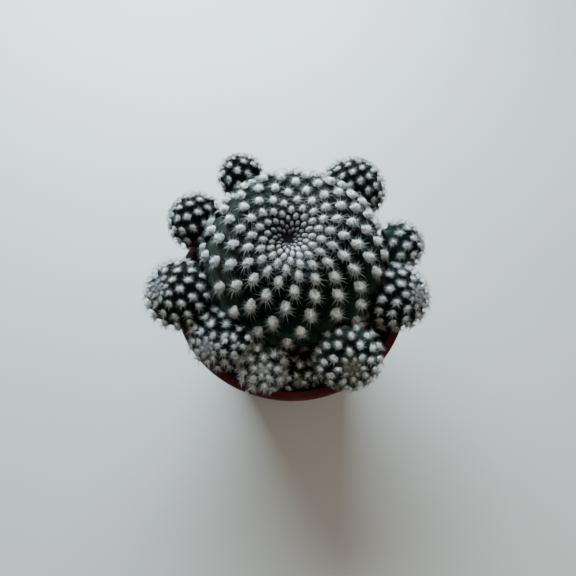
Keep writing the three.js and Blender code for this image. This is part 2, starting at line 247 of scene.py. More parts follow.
# ---- Colours, linear ----
SKIN_CROWN = (0.010, 0.020, 0.0155)
# Painted shade: the skin in the valleys between tubercles.
SKIN_VALLEY_SHADE = (0.0025, 0.0050, 0.0040)
# Bare skin and painted light on the main stem's left flank.
SKIN_BARE_AND_LIT = (0.034, 0.042, 0.033)
SKIN_YOUNG = (0.05, 0.05, 0.022)
SKIN_HOLLOW = (0.016, 0.012, 0.017)
WOOL_WHITE = (0.93, 0.96, 0.95)
WOOL_OLD_AND_SHADED = (0.33, 0.335, 0.31)
# Partly the young wool's own dark tone, partly painted shade in the crown's hollow.
WOOL_HOLLOW_TONE_AND_SHADE = (0.15, 0.14, 0.17)
WOOL_YOUNG = (0.60, 0.59, 0.66)
GREENER_WOOL = {
    "offset_front_right": (0.34, 0.30, 0.18),
    "offset_front_left": (0.62, 0.66, 0.50),
    "offset_front": (0.30, 0.34, 0.20),
}
SPINE_ROOT_COLOUR = (0.80, 0.81, 0.80)
SPINE_TIP_COLOUR = (0.07, 0.07, 0.07)
POT_COLOUR = (0.06, 0.007, 0.0065)
POT_DUST = (0.11, 0.022, 0.02)
SOIL_COLOUR = (0.016, 0.012, 0.0095)
SOIL_GRIT = (0.05, 0.037, 0.026)
FLOOR_COLOUR = (0.486, 0.468, 0.444)

# ---- Where colours change, and how much ----
# Angles are from the crown. A facing is how far a surface or a place faces a side, from and to.
YOUNG_START = math.radians(3)
YOUNG_WOOL_SHADE_BEHIND = 0.6
YOUNG_SKIN_SHARE = 0.8
OLD_WOOL_ANGLES = (math.radians(62), math.radians(112))
OLD_WOOL_SHARE = 0.75
PALE_LIT_SKIN_ANGLES = (0.7, 1.5)
TUBERCLE_CONTRAST = 1.3
SKIN_SHADE = 0.6
SPINE_CONTRAST = 1.3
SPINE_WHITENING = 0.4
# The side where painted shade stretches the young wool tint.
SHADED_BACK_LEFT = np.array((-0.45, 0.89, 0))
BARE_LIT_SIDE = np.array((-0.98, -0.1, 0.15))
BARE_LIT_FACING = (0.6, 0.9)
BACK_FACING = (-0.6, 0.2)
UPWARD_FACING = (-0.4, 0.2)
BRIGHT_SIDE = np.array((-0.05, 0.55, 0.83))
BRIGHT_FACING = (-0.4, 0.5)


# ---- Small helpers ----

def unit(vectors):
    return vectors / np.linalg.norm(vectors, axis=-1, keepdims=True)


def smooth(share):
    share = np.clip(share, 0, 1)
    return share * share * (3 - 2 * share)


def ease(value, start, end):
    """Rises smoothly from 0 at the start to 1 at the end."""
    return smooth((value - start) / (end - start))


def blend(first, second, share):
    share = np.asarray(share)[..., None]
    return np.asarray(first) * (1 - share) + np.asarray(second) * share


def dimmed(colour, share):
    return tuple(share * part for part in colour)


def grey(value):
    return (value, value, value)


# ---- The form of a head ----

class Head:
    """A round head with areoles in one spiral from its crown, which is its growing point."""

    def __init__(self, **shape):
        self.__dict__.update(shape)
        self.main = self.name == MAIN_STEM["name"]
        self.centre = np.array(self.centre, float)
        self.axis = unit(np.array(self.axis, float))
        self.crown = unit(np.array(shape.get("crown", self.axis), float))
        self.east = unit(np.cross((0, 1, 0), self.crown))
        self.north = np.cross(self.crown, self.east)

    def direction(self, polar, around):
        """The direction at an angle from the crown, turned round it."""
        return (
            np.cos(polar)[:, None] * self.crown
            + (np.sin(polar) * np.cos(around))[:, None] * self.east
            + (np.sin(polar) * np.sin(around))[:, None] * self.north
        )

    def skin_at(self, direction):
        """Where directions from the middle of the head meet its skin."""
        along = direction @ self.axis
        below = np.maximum(0, -along)
        across = direction - along[:, None] * self.axis
        width = self.radius * (1 - self.taper * below**3)
        height = self.radius * along * np.where(below > 0, self.drop, self.rise)
        from_crown = self.radius * np.linalg.norm(direction - self.crown, axis=-1)
        hollow = self.hollow_depth * np.exp(-((from_crown / self.hollow_radius) ** 2))
        arm = across * width[:, None] + height[:, None] * self.axis - hollow[:, None] * self.crown
        return self.centre + arm

    def ways_at(self, direction):
        """The ways down the rib, across the ribs and out of the skin."""
        across = unit(np.cross(self.crown, direction) + CROWN_NUDGE * self.north)
        down = np.cross(across, direction)
        here = self.skin_at(direction)
        down_run = self.skin_at(unit(direction + SLOPE_STEP * down)) - here
        across_run = self.skin_at(unit(direction + SLOPE_STEP * across)) - here
        outward = unit(np.cross(down_run, across_run))
        down = unit(down_run)
        return down, np.cross(outward, down), outward

    def raised_at(self, direction, lift):
        """Places on the skin, moved out along it by the lift, or in where that is negative."""
        return self.skin_at(direction) + self.ways_at(direction)[2] * np.asarray(lift)[:, None]

    def spacing_at(self, polar):
        share = np.minimum(1, polar / math.radians(self.crowded_angle))
        grown = smooth(share**self.crowding)
        return self.spacing * (self.apex_spacing + (1 - self.apex_spacing) * grown)

    def grown(self, polar, around):
        """Moves angles of the even spiral to where one-sided growth carries them."""
        swell = self.swell * np.sin(polar) * np.cos(around - math.radians(self.swell_side))
        sway = self.sway * np.sin(around - math.radians(self.sway_side))
        return polar + swell, around - sway

    def ungrown(self, polar, around):
        """The angle from the crown in the even spiral that growth carries to this one."""
        even_polar, even_around = polar, around
        for _ in range(UNGROWING_ROUNDS):
            grown_polar, grown_around = self.grown(even_polar, even_around)
            even_polar = even_polar + polar - grown_polar
            even_around = even_around + around - grown_around
        return even_polar

    def areoles(self):
        """Their directions, spacings and angles in the even spiral, from the crown outwards.

        The area inside an angle sets how many areoles stand inside it.
        """
        polar = np.arange(COUNT_STEP, math.pi, COUNT_STEP)
        spacing = self.spacing_at(polar)
        zone = 2 * math.pi * self.radius**2 * np.sin(polar) * COUNT_STEP
        count = np.cumsum(zone / (AREOLE_PACKING * spacing**2))
        turn = np.arange(0.5, count[-1])
        polar = polar[np.searchsorted(count, turn, side="right")]
        around = np.radians(self.twist + turn * self.divergence)
        direction = self.direction(*self.grown(polar, around))
        spacing = self.spacing_at(polar)
        kept = (spacing > SMALLEST_SPACING) & (direction @ self.axis > math.cos(LAST_AREOLE))
        return direction[kept], spacing[kept], polar[kept]


# ---- Walls that a head is pressed flat against: a normal, and its reach from the origin ----

def wall_between(head, other):
    """The plane in which two round heads meet, moved back by half of the gap."""
    arm = other.centre - head.centre
    apart = np.linalg.norm(arm)
    normal = arm / apart
    share = (apart**2 + head.radius**2 - other.radius**2) / (2 * apart)
    return normal, normal @ head.centre + share - NEIGHBOUR_GAP / 2


def wall_at_rim(head):
    """A plane that faces the head, short of the rim's nearest point."""
    out = np.hypot(*head.centre[:2])
    nearest = np.clip(out, RIM_INNER_RADIUS, RIM_RADIUS)
    edge = np.array([*(head.centre[:2] / out * nearest), POT_HEIGHT])
    normal = unit(edge - head.centre)
    return normal, normal @ edge - POT_GAP


def walls_around(head, heads):
    walls = []
    for other in heads:
        apart = np.linalg.norm(other.centre - head.centre)
        if other is not head and apart < head.radius + other.radius + NEIGHBOUR_REACH:
            walls.append(wall_between(head, other))
    if not head.main:
        walls.append(wall_at_rim(head))
        walls.append((np.array((0, 0, -1.0)), -(SOIL_TOP + SOIL_CLEARANCE)))
    return walls


def press_inside(head, walls, places):
    """Pulls what is past a wall back to it, straight towards the middle of the head."""
    arms = places - head.centre
    share = np.ones(len(places))
    for normal, reach in walls:
        outward = arms @ normal
        room = reach - normal @ head.centre
        beyond = outward > room
        share[beyond] = np.minimum(share[beyond], room / outward[beyond])
    return head.centre + arms * share[:, None]


def past_walls(walls, places, allowance):
    past = np.zeros(places.shape[:-1], bool)
    for normal, reach in walls:
        past |= places @ normal > reach + allowance
    return past


# ---- Meshes ----

def make_piece(name, points, faces, material, colours=None):
    """A smooth-shaded mesh object from places in millimetres, with a colour for each place."""
    mesh = bpy.data.meshes.new(name)
    mesh.from_pydata((points * MM).tolist(), [], faces)
    mesh.shade_smooth()
    mesh.materials.append(material)
    if colours is not None:
        tint = mesh.attributes.new("tint", "FLOAT_COLOR", "POINT")
        rgba = np.ones((len(points), 4), np.float32)
        rgba[:, :3] = colours
        tint.data.foreach_set("color", rgba.ravel())
    piece = bpy.data.objects.new(name, mesh)
    bpy.context.scene.collection.objects.link(piece)
    return piece


def keep(piece, slot, *nodes):
    """Rides the piece on the part's one body, in place of the nodes that it stands for."""
    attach(piece, "root")
    if nodes:
        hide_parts(*nodes)


def turned_faces(rows, columns):
    """Faces of a closed form: a pole, rows of equal rings and a pole."""
    index = 1 + np.arange(rows * columns).reshape(rows, columns)
    after = np.roll(index, -1, axis=1)
    quads = np.stack([index[:-1], index[1:], after[1:], after[:-1]], axis=-1).reshape(-1, 4)
    top = [(0, int(a), int(b)) for a, b in zip(index[0], after[0])]
    last = rows * columns + 1
    bottom = [(last, int(b), int(a)) for a, b in zip(index[-1], after[-1])]
    return quads.tolist() + top + bottom


def repeated_faces(pattern, count, points_each):
    """One form's triangles, repeated for as many forms as the count says."""
    first = np.arange(count) * points_each
    return (first[:, None, None] + pattern).reshape(-1, 3)


# ---- Skin ----

def skin_rows(head):
    """Angles from the crown, closer together where the areoles are."""
    fine = np.linspace(0, np.pi, FINE_ANGLES)
    rows_per_angle = SKIN_SAMPLES * head.radius / head.spacing_at(fine)
    count = np.concatenate([[0], np.cumsum(rows_per_angle[1:] * np.diff(fine))])
    return np.interp(np.arange(1, int(count[-1])), count, fine)


def nearest_distance(points, targets):
    nearest = np.full(len(points), np.inf)
    for target in targets:
        np.minimum(nearest, ((points - target) ** 2).sum(axis=1), out=nearest)
    return np.sqrt(nearest)


def skin_relief(head, direction, spacing):
    """How far a place stands up from the valley between tubercles to a tubercle's crown."""
    crowns = head.skin_at(head.areoles()[0])
    distance = nearest_distance(head.skin_at(direction), crowns)
    return 1 - smooth(distance / (TUBERCLE_REACH * spacing))


def skin_tints(head, polar, direction, relief):
    """Painted shade in the valleys, greener tubercles, a paler side and the young skin of the
    crown.
    """
    colours = blend(SKIN_VALLEY_SHADE, SKIN_CROWN, relief**TUBERCLE_CONTRAST)
    # Tone and painted light: skin far from the crown is paler; on the main stem only at the front.
    pale_lit_share = ease(polar, *PALE_LIT_SKIN_ANGLES)
    if head.main:
        pale_lit_share = pale_lit_share * (1 - ease(direction[:, 1], *BACK_FACING))
    colours = colours * (SKIN_SHADE + head.old_skin * pale_lit_share)[:, None]
    if head.main:
        # Bare skin and painted light: the left flank, towards the window, is paler between the
        # areoles.
        bare_and_lit = ease(direction @ BARE_LIT_SIDE, *BARE_LIT_FACING) * (1 - relief)
        colours = blend(colours, SKIN_BARE_AND_LIT, bare_and_lit)
    young = 1 - ease(polar, YOUNG_START, YOUNG_START + math.radians(head.young_skin))
    youngest = SKIN_YOUNG if head.name in GREENER_WOOL else SKIN_HOLLOW
    return blend(colours, youngest, YOUNG_SKIN_SHARE * young)


def make_skin(head, walls, material):
    rows = skin_rows(head)
    columns = int(2 * np.pi * head.radius * SKIN_SAMPLES / head.spacing)
    turns = np.arange(columns) / columns * 2 * np.pi
    polar = np.concatenate([[POLE_ANGLE], np.repeat(rows, columns), [np.pi - POLE_ANGLE]])
    around = np.concatenate([[0], np.tile(turns, len(rows)), [0]])
    direction = head.direction(polar, around)
    spacing = head.spacing_at(head.ungrown(polar, around))
    relief = skin_relief(head, direction, spacing)
    depth = VALLEY_DEPTH + (SEAT_DEPTH - VALLEY_DEPTH) * relief
    places = head.raised_at(direction, -depth * spacing)
    places = press_inside(head, walls, places)
    colours = skin_tints(head, polar, direction, relief)
    faces = turned_faces(len(rows), columns)
    return make_piece(head.name + "_skin", places, faces, material, colours)


# ---- Needles ----

def needle_pattern(rings):
    """One needle's triangles: its foot, its sides and its tip."""
    faces = [(2, 1, 0)]
    last = (rings - 1) * NEEDLE_SIDES
    for first in range(0, last, NEEDLE_SIDES):
        for side in range(NEEDLE_SIDES):
            a = first + side
            b = first + (side + 1) % NEEDLE_SIDES
            faces += [(a, b, b + NEEDLE_SIDES), (a, b + NEEDLE_SIDES, a + NEEDLE_SIDES)]
    for side in range(NEEDLE_SIDES):
        faces.append((last + side, last + (side + 1) % NEEDLE_SIDES, last + NEEDLE_SIDES))
    return np.array(faces)


def make_needles(roots, bends, tips, radii, rings):
    """Curved cones from roots to tips, bent towards the bends; rings counts their sections.

    Their points and faces, and how far along its needle each point is.
    """
    shares = np.arange(rings) / rings
    start = unit(bends - roots)
    side = unit(np.cross(start, tips - roots + NEEDLE_NUDGE))
    other = np.cross(start, side)
    corners = np.arange(NEEDLE_SIDES) / NEEDLE_SIDES * 2 * np.pi
    points = []
    for share in shares:
        middle = roots * (1 - share) ** 2 + bends * 2 * share * (1 - share) + tips * share**2
        width = (radii * (1 - share) ** NEEDLE_TAPER)[:, None]
        for corner in corners:
            points.append(middle + width * (side * np.cos(corner) + other * np.sin(corner)))
    points.append(tips)
    points = np.stack(points, axis=1)
    faces = repeated_faces(needle_pattern(rings), len(roots), points.shape[1])
    along = np.append(np.repeat(shares, NEEDLE_SIDES), 1.0)
    return points.reshape(-1, 3), faces, np.tile(along, len(roots))


# ---- Areoles ----

def areole_frames(head, walls):
    """The areoles that show: their seats, sizes and the three directions at each."""
    direction, spacing, polar = head.areoles()
    shown = ~past_walls(walls, head.skin_at(direction), AREOLE_CROSSING)
    direction, spacing, polar = direction[shown], spacing[shown], polar[shown]
    down, across, outward = head.ways_at(direction)
    # Painted shade: wool on areoles that face down is greyed.
    shaded = 1 - ease(outward[:, 2], *UPWARD_FACING)
    size = head.wool * spacing**TUFT_GROWTH * head.spacing ** (1 - TUFT_GROWTH)
    return dict(
        polar=polar,
        shaded=shaded,
        seat=head.raised_at(direction, -SEAT_DEPTH * spacing),
        spacing=spacing,
        tuft=size * (1 - SHADE_SHRINKS * shaded),
        fluff=head.fluff * head.wool * spacing,
        outward=outward,
        down=down,
        across=across,
    )


def in_areole(areoles, down, across, outward):
    """From millimetres in each areole's own directions to places."""
    local = (
        down[..., None] * areoles["down"][:, None]
        + across[..., None] * areoles["across"][:, None]
        + outward[..., None] * areoles["outward"][:, None]
    )
    return areoles["seat"][:, None] + local


def on_dome(areoles, turn, rise):
    """A place on each tuft's dome, at a turn round it and an angle above its foot."""
    down = WOOL_LENGTH * np.cos(rise) * np.cos(turn)
    across = WOOL_WIDTH * np.cos(rise) * np.sin(turn)
    out = WOOL_RISE * np.sin(rise) - WOOL_SINK
    return [part * areoles["tuft"][:, None] for part in (down, across, out)]


# ---- Wool ----

def dome_pattern():
    """One cushion's triangles: the bands between its rings, and a cap round its top."""
    ring = np.arange(DOME_RINGS * DOME_SEGMENTS).reshape(DOME_RINGS, DOME_SEGMENTS)
    after = np.roll(ring, -1, axis=1)
    lower = np.stack([ring[:-1], after[:-1], after[1:]], axis=-1).reshape(-1, 3)
    upper = np.stack([ring[:-1], after[1:], ring[1:]], axis=-1).reshape(-1, 3)
    top = np.full(DOME_SEGMENTS, DOME_RINGS * DOME_SEGMENTS)
    cap = np.stack([ring[-1], after[-1], top], axis=-1)
    return np.concatenate([lower, upper, cap])


def make_domes(areoles, draw):
    """Cushions, and a shade for each place: streaked, with painted shade at the foot and
    underneath.
    """
    count = len(areoles["polar"])
    turn = np.tile(np.arange(DOME_SEGMENTS) / DOME_SEGMENTS * 2 * np.pi, DOME_RINGS)
    rise = np.repeat(np.arange(DOME_RINGS) / DOME_RINGS * np.pi / 2, DOME_SEGMENTS)
    turn = np.tile(np.append(turn, 0), (count, 1))
    rise = np.tile(np.append(rise, np.pi / 2), (count, 1))
    swell = 1 + WOOL_ROUGHNESS * draw.normal(size=turn.shape)
    points = in_areole(areoles, *(part * swell for part in on_dome(areoles, turn, rise)))
    faces = repeated_faces(dome_pattern(), count, points.shape[1])
    streaks = np.tile(draw.uniform(*WOOL_STREAKS, (count, DOME_SEGMENTS)), DOME_RINGS)
    shade = np.append(streaks, np.ones((count, 1)), axis=1)
    shade = shade * (FOOT_SHADE + (1 - FOOT_SHADE) * np.sin(rise))
    # Painted shade on the side turned away from the window.
    facing = unit(points - areoles["seat"][:, None]) @ BRIGHT_SIDE
    shade = shade * (1 - UNDERSIDE_SHADE * (1 - ease(facing, *BRIGHT_FACING)))
    return points.reshape(-1, 3), faces, shade.ravel()


def make_fibres(areoles, draw):
    """Loose hairs on each cushion, and a shade for each place, which fades towards the tips."""
    count = len(areoles["polar"])
    turn = draw.uniform(0, 2 * np.pi, (count, FIBRES))
    rise = np.arcsin(draw.uniform(0, HIGHEST_FIBRE, (count, FIBRES)))
    foot = [FIBRE_FOOT * part for part in on_dome(areoles, turn, rise)]
    length = draw.uniform(*FIBRE_LENGTH, (count, FIBRES)) * areoles["fluff"][:, None]
    lean = (
        np.cos(turn) + FIBRE_DROOP + FIBRE_TANGLE * draw.normal(size=turn.shape),
        np.sin(turn) + FIBRE_TANGLE * draw.normal(size=turn.shape),
        FIBRE_LIFT + TOP_FIBRE_LIFT * np.sin(rise),
    )
    size = np.sqrt(sum(part**2 for part in lean))
    lean = [part / size * length for part in lean]
    roots = in_areole(areoles, *foot)
    bends = in_areole(areoles, *(a + FIBRE_BEND * b for a, b in zip(foot, lean)))
    tips = in_areole(areoles, *(a + reach * b for a, reach, b in zip(foot, FIBRE_REACH, lean)))
    radii = FIBRE_RADIUS * np.repeat(np.sqrt(areoles["spacing"] / FULL_FIBRE_SPACING), FIBRES)
    places = (place.reshape(-1, 3) for place in (roots, bends, tips))
    points, faces, along = make_needles(*places, radii, rings=2)
    shades = draw.uniform(*FIBRE_SHADES, len(radii))
    return points, faces, np.repeat(shades, len(along) // len(radii)) * (1 - FIBRE_FADE * along)


def wool_tints(head, areoles, per_areole):
    """White wool, greyer where old or, as painted shade, facing down; tinted round the growing
    point.
    """
    young_tint = WOOL_HOLLOW_TONE_AND_SHADE if head.main else GREENER_WOOL.get(head.name, WOOL_YOUNG)
    # Painted shade: the young tint reaches further on the back-left side of the crown.
    behind = areoles["down"] @ SHADED_BACK_LEFT
    young_reach = math.radians(head.young_wool) * (1 + YOUNG_WOOL_SHADE_BEHIND * behind)
    young = 1 - ease(areoles["polar"], YOUNG_START, YOUNG_START + young_reach)
    old = OLD_WOOL_SHARE * ease(areoles["polar"], *OLD_WOOL_ANGLES)
    colours = blend(WOOL_WHITE, WOOL_OLD_AND_SHADED, np.maximum(old, areoles["shaded"]))
    colours = blend(colours, young_tint, young)
    return np.repeat(colours, per_areole, axis=0)


def make_wool(head, areoles, draw, material):
    count = len(areoles["polar"])
    dome_points, dome_faces, dome_shade = make_domes(areoles, draw)
    fibre_points, fibre_faces, fibre_shade = make_fibres(areoles, draw)
    points = np.concatenate([dome_points, fibre_points])
    faces = np.concatenate([dome_faces, fibre_faces + len(dome_points)])
    tints = np.concatenate([
        wool_tints(head, areoles, len(dome_points) // count),
        wool_tints(head, areoles, len(fibre_points) // count),
    ])
    colours = tints * np.concatenate([dome_shade, fibre_shade])[:, None]
    return make_piece(head.name + "_wool", points, faces.tolist(), material, colours)


# ---- Spines ----

def spine_paths(head, areoles, draw):
    """Roots, bends and tips of a ring of spines on each areole, and how grown each ring is."""
    count = len(areoles["polar"])
    turn = (np.arange(SPINE_COUNT) + 0.5) / SPINE_COUNT * 2 * np.pi
    turn = turn + SPINE_SPREAD * draw.normal(size=(count, SPINE_COUNT))
    side_down, side_across = np.cos(turn), np.sin(turn)
    front = -side_down * areoles["down"][:, 1:2] - side_across * areoles["across"][:, 1:2]
    size = (areoles["spacing"] / head.spacing)[:, None]
    grown = ease(size, head.first_spines, FULL_SPINES) * size**SPINE_GROWTH
    shares = (1 + FRONT_SPINES_LONGER * front) * draw.uniform(*SPINE_LENGTHS, turn.shape)
    length = head.spine_length * grown * shares
    lift = draw.uniform(*head.spine_lift, turn.shape)
    droop = draw.uniform(*SPINE_DROOP, turn.shape)
    foot = on_dome(areoles, turn, np.full_like(turn, SPINE_FOOT_RISE))
    foot = [SPINE_FOOT * part for part in foot]
    bend_out, bend_up = SPINE_BEND
    tip_out, tip_up = SPINE_TIP
    bend = (bend_out * side_down, bend_out * side_across, bend_up * lift)
    tip = (tip_out * side_down + droop, tip_out * side_across, tip_up * lift - droop)
    bends = in_areole(areoles, *(a + length * b for a, b in zip(foot, bend)))
    tips = in_areole(areoles, *(a + length * b for a, b in zip(foot, tip)))
    return in_areole(areoles, *foot), bends, tips, grown


def make_spines(head, walls, areoles, draw, material):
    """Spines that don't reach far past a wall, whitest at the root."""
    roots, bends, tips, grown = spine_paths(head, areoles, draw)
    clear = ~past_walls(walls, tips, SPINE_CROSSING) & ~past_walls(walls, roots, 0)
    radii = np.broadcast_to(head.spine_radius * np.sqrt(grown), clear.shape)[clear]
    points, faces, along = make_needles(roots[clear], bends[clear], tips[clear], radii, rings=3)
    # The wool's tints, painted shade included, also colour the spines.
    tints = wool_tints(head, areoles, SPINE_COUNT)[clear.ravel()]
    tints = blend(tints, WOOL_WHITE, SPINE_WHITENING)
    tints = np.repeat(tints, len(along) // len(tints), axis=0)
    fade = blend(SPINE_ROOT_COLOUR, SPINE_TIP_COLOUR, along**SPINE_CONTRAST)
    colours = tints * fade * head.spine_shade
    return make_piece(head.name + "_spines", points, faces.tolist(), material, colours)


# ---- Pot ----

def fillet(before, corner, after, radius):
    """Points of an arc that rounds a profile's corner."""
    corner, before, after = (np.array(p, float) for p in (corner, before, after))
    way_in, way_out = unit(before - corner), unit(after - corner)
    half = math.acos(np.clip(way_in @ way_out, -1, 1)) / 2
    back = radius / math.tan(half)
    start, end = corner + way_in * back, corner + way_out * back
    middle = corner + unit(way_in + way_out) * (radius / math.sin(half))
    turn = np.linspace(0, 1, FILLET_STEPS + 1)[:, None]
    chord = start * (1 - turn) + end * turn
    return [tuple(middle + unit(p - middle) * radius) for p in chord]


def pot_inner_radius(height):
    rise = (RIM_INNER_RADIUS - POT_BASE_RADIUS + POT_WALL) / (POT_HEIGHT - POT_WALL)
    return POT_BASE_RADIUS - POT_WALL + rise * (height - POT_WALL)


def pot_profile():
    """The wall's outline as radii and heights: outside, rim and inside, with its fillets."""
    under_rim = POT_HEIGHT - RIM_DEPTH
    wall_top = RIM_RADIUS - RIM_OVERHANG
    corners = [
        ((0, 0), 0),
        ((POT_BASE_RADIUS, 0), FOOT_FILLET),
        ((wall_top, under_rim), UNDER_RIM_FILLET),
        ((RIM_RADIUS, under_rim), LIP_FILLET),
        ((RIM_RADIUS, POT_HEIGHT), LIP_FILLET),
        ((RIM_INNER_RADIUS, POT_HEIGHT), LIP_FILLET),
        ((pot_inner_radius(POT_WALL), POT_WALL), FLOOR_FILLET),
        ((0, POT_WALL), 0),
    ]
    points = [corners[0][0]]
    for i in range(1, len(corners) - 1):
        points += fillet(corners[i - 1][0], corners[i][0], corners[i + 1][0], corners[i][1])
    return points + [corners[-1][0]]


def lathe(profile, sides):
    """Turns a profile that starts and ends on the axis round it."""
    rings = np.array(profile[1:-1], float)
    turns = np.arange(sides) / sides * 2 * np.pi
    radius = np.repeat(rings[:, 0], sides)
    around = np.tile(turns, len(rings))
    height = np.repeat(rings[:, 1], sides)
    body = np.stack([radius * np.cos(around), radius * np.sin(around), height], axis=-1)
    points = np.concatenate([[(0, 0, profile[0][1])], body, [(0, 0, profile[-1][1])]])
    faces = turned_faces(len(rings), sides)
    return points, [tuple(reversed(face)) for face in faces]


def cut_away(piece, cutters):
    """Subtracts the cutters from the piece and removes them."""
    for cutter in cutters:
        cut = piece.modifiers.new("cut", "BOOLEAN")
        cut.operation = "DIFFERENCE"
        cut.solver = "EXACT"
        cut.object = cutter
    bpy.context.view_layer.update()
    evaluated = piece.evaluated_get(bpy.context.evaluated_depsgraph_get())
    mesh = bpy.data.meshes.new_from_object(evaluated)
    piece.modifiers.clear()
    piece.data = mesh
    for cutter in cutters:
        bpy.data.objects.remove(cutter)


def make_cutter(build):
    mesh = bpy.data.meshes.new("cutter")
    shape = bmesh.new()
    build(shape)
    shape.to_mesh(mesh)
    shape.free()
    cutter = bpy.data.objects.new("cutter", mesh)
    bpy.context.scene.collection.objects.link(cutter)
    return cutter


def drain_cutter(index):
    """A rod four walls long, through the pot's base where a drain hole goes."""
    turn = index / DRAIN_HOLES * 2 * math.pi
    place = Vector((math.cos(turn), math.sin(turn), 0)) * DRAIN_CIRCLE * MM
    return make_cutter(lambda shape: bmesh.ops.create_cone(
        shape, cap_ends=True, segments=DRAIN_SIDES, radius1=DRAIN_RADIUS * MM,
        radius2=DRAIN_RADIUS * MM, depth=POT_WALL * 4 * MM, matrix=Matrix.Translation(place),
    ))


def nick_cutter():
    """A block across the rim's edge where the nick goes, three rims tall."""
    size = Matrix.Diagonal((NICK_DEPTH * 2 * MM, NICK_WIDTH * MM, RIM_DEPTH * 3 * MM, 1))
    place = Matrix.Translation((RIM_RADIUS * MM, 0, POT_HEIGHT * MM))
    matrix = Matrix.Rotation(NICK_AZIMUTH, 4, "Z") @ place @ size
    return make_cutter(lambda shape: bmesh.ops.create_cube(shape, size=1, matrix=matrix))


def make_pot(material):
    points, faces = lathe(pot_profile(), POT_SIDES)
    pot = make_piece("pot_shell", points, faces, material)
    cut_away(pot, [drain_cutter(i) for i in range(DRAIN_HOLES)] + [nick_cutter()])
    pot.data.set_sharp_from_angle(angle=SMOOTHED_EDGES)
    return pot


# ---- Soil ----

def soil_height(x, y):
    """Gentle lumps of the potting mix, as a sum of waves."""
    total = sum(np.sin(a * x + b * y + c) / math.hypot(a, b) for a, b, c in SOIL_WAVES)
    return SOIL_TOP - SOIL_SINK + SOIL_LUMPS * total


def make_crumbs(draw, outer):
    """Irregular lumps scattered over the soil, each a squashed and dented ball."""
    ball = bmesh.new()
    bmesh.ops.create_icosphere(ball, subdivisions=1, radius=1)
    corners = np.array([tuple(v.co) for v in ball.verts])
    pattern = np.array([[v.index for v in f.verts] for f in ball.faces])
    ball.free()
    edge = outer - CRUMB_MARGIN
    radius = np.sqrt(draw.uniform(SOIL_INNER_RADIUS**2, edge**2, CRUMB_COUNT))
    turn = draw.uniform(0, 2 * np.pi, CRUMB_COUNT)
    x, y = radius * np.cos(turn), radius * np.sin(turn)
    low, high = CRUMB_SIZE
    size = low + (high - low) * draw.random(CRUMB_COUNT) ** CRUMB_SMALLNESS
    centres = np.stack([x, y, soil_height(x, y) + CRUMB_LIFT * size], axis=-1)
    stretch = draw.uniform(*CRUMB_STRETCH, (CRUMB_COUNT, 1, 3))
    dents = draw.uniform(*CRUMB_DENTS, (CRUMB_COUNT, len(corners), 1))
    points = centres[:, None] + corners * stretch * dents * size[:, None, None]
    faces = repeated_faces(pattern, CRUMB_COUNT, len(corners))
    return points.reshape(-1, 3), faces.tolist()


def make_soil(material, draw):
    """A body that fills the pot, with a lumpy top from the rim to under the plant, and crumbs."""
    bottom = POT_WALL + SOIL_GAP
    outer = pot_inner_radius(SOIL_TOP) - SOIL_GAP
    surface = [(float(r), SOIL_TOP) for r in np.linspace(outer, SOIL_INNER_RADIUS, SOIL_RINGS)]
    profile = [(0, bottom), (pot_inner_radius(bottom) - SOIL_GAP, bottom), *surface, (0, SOIL_TOP)]
    points, faces = lathe(profile, POT_SIDES)
    top = points[:, 2] > bottom
    points[top, 2] = soil_height(points[top, 0], points[top, 1])
    points[top, 2] -= SOIL_GRAIN * draw.random(top.sum())
    crumb_points, crumb_faces = make_crumbs(draw, outer)
    faces += [tuple(i + len(points) for i in face) for face in crumb_faces]
    return make_piece("soil_mix", np.concatenate([points, crumb_points]), faces, material)


# ---- Materials: each has its noise sizes and depths in millimetres ----

